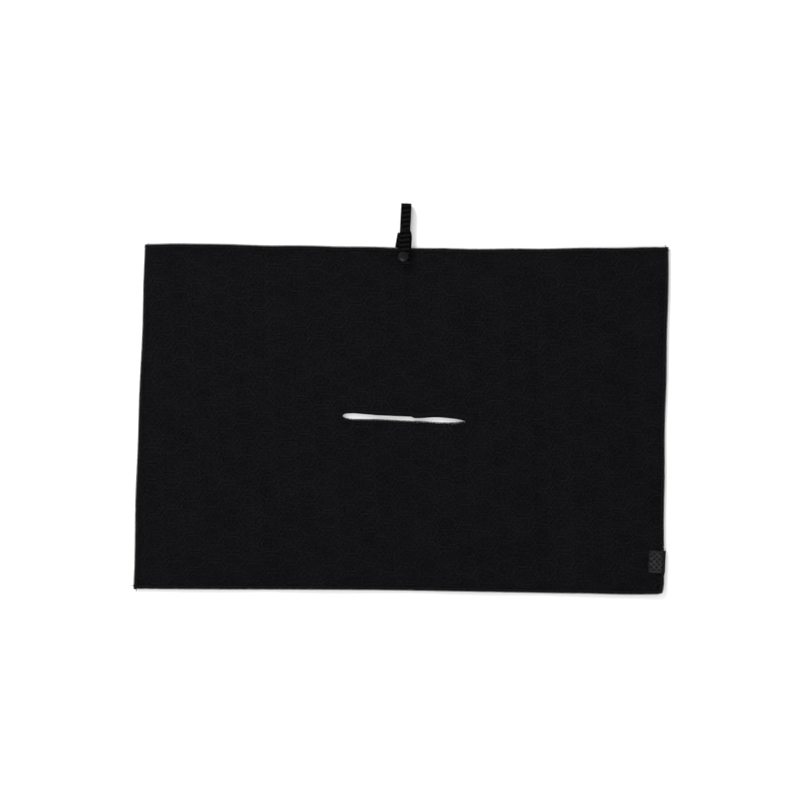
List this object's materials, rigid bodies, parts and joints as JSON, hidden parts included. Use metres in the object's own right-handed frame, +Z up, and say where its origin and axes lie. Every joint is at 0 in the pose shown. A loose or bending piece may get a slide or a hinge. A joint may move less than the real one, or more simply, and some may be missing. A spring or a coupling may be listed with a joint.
{
  "type": "golf towel",
  "caption": "Rectangular waffle golf towel with overlocked edges, a bound club slit across its middle, and a tape loop that opens with a snap.",
  "frame": {"origin": "under the middle of the whole towel as it lies flat, loop and label included, on the surface that it lies on", "axes": "+X along the towel's long side, to the right as the front face is seen from above; +Y across the towel towards the loop; +Z up, out of the front face"},
  "size_m": [0.6112, 0.4486, 0.0082],
  "materials": {
    "towel_cloth": "matte black waffle microfibre",
    "overlock_thread": "black overlock thread",
    "loop_tape": "matte black ribbed tape",
    "sewing_thread": "black sewing thread",
    "snap_metal": "black lacquered metal",
    "snap_cap": "satin black",
    "label_tape": "charcoal woven"
  },
  "bodies": {
    "upper_towel": {"towel_upper_half": "towel_cloth", "top_edge_overlock": "overlock_thread", "upper_left_edge_overlock": "overlock_thread", "upper_right_edge_overlock": "overlock_thread", "slit_upper_lip_overlock": "overlock_thread", "loop_sewn_end": "loop_tape", "loop_anchor_stitching": "sewing_thread", "snap_post": "snap_metal", "snap_stud": "snap_metal"},
    "lower_towel": {"towel_lower_half": "towel_cloth", "bottom_edge_overlock": "overlock_thread", "lower_left_edge_overlock": "overlock_thread", "lower_right_edge_overlock": "overlock_thread", "slit_lower_lip_overlock": "overlock_thread", "side_label": "label_tape", "label_stitching": "sewing_thread"},
    "loop": {"loop_back_leg": "loop_tape", "loop_top_fold": "loop_tape", "loop_doubler_stitching": "sewing_thread"},
    "loop_front": {"loop_front_leg": "loop_tape"},
    "snap_tab": {"loop_snap_tab": "loop_tape", "snap_socket": "snap_metal", "snap_cap": "snap_cap"}
  },
  "joints": [
    {"name": "towel_fold", "type": "hinge", "parent": "upper_towel", "child": "lower_towel", "pos_m": [0, -0.0243, 0.0024], "axis": [-1, 0, 0], "range_deg": [0, 178]},
    {"name": "loop_swing", "type": "hinge", "parent": "upper_towel", "child": "loop", "pos_m": [0.002, 0.1787, 0.0061], "axis": [1, 0, 0], "range_deg": [-30, 90]},
    {"name": "loop_opening", "type": "hinge", "parent": "loop", "child": "loop_front", "pos_m": [0.002, 0.2209, 0.0067], "axis": [-1, 0, 0], "range_deg": [0, 150]},
    {"name": "tab_bend", "type": "hinge", "parent": "loop_front", "child": "snap_tab", "pos_m": [0.002, 0.1787, 0.0061], "axis": [1, 0, 0], "range_deg": [-90, 30]}
  ],
  "couplings": [
    {"joint": "tab_bend", "follows": "loop_swing", "ratio": -1}
  ]
}
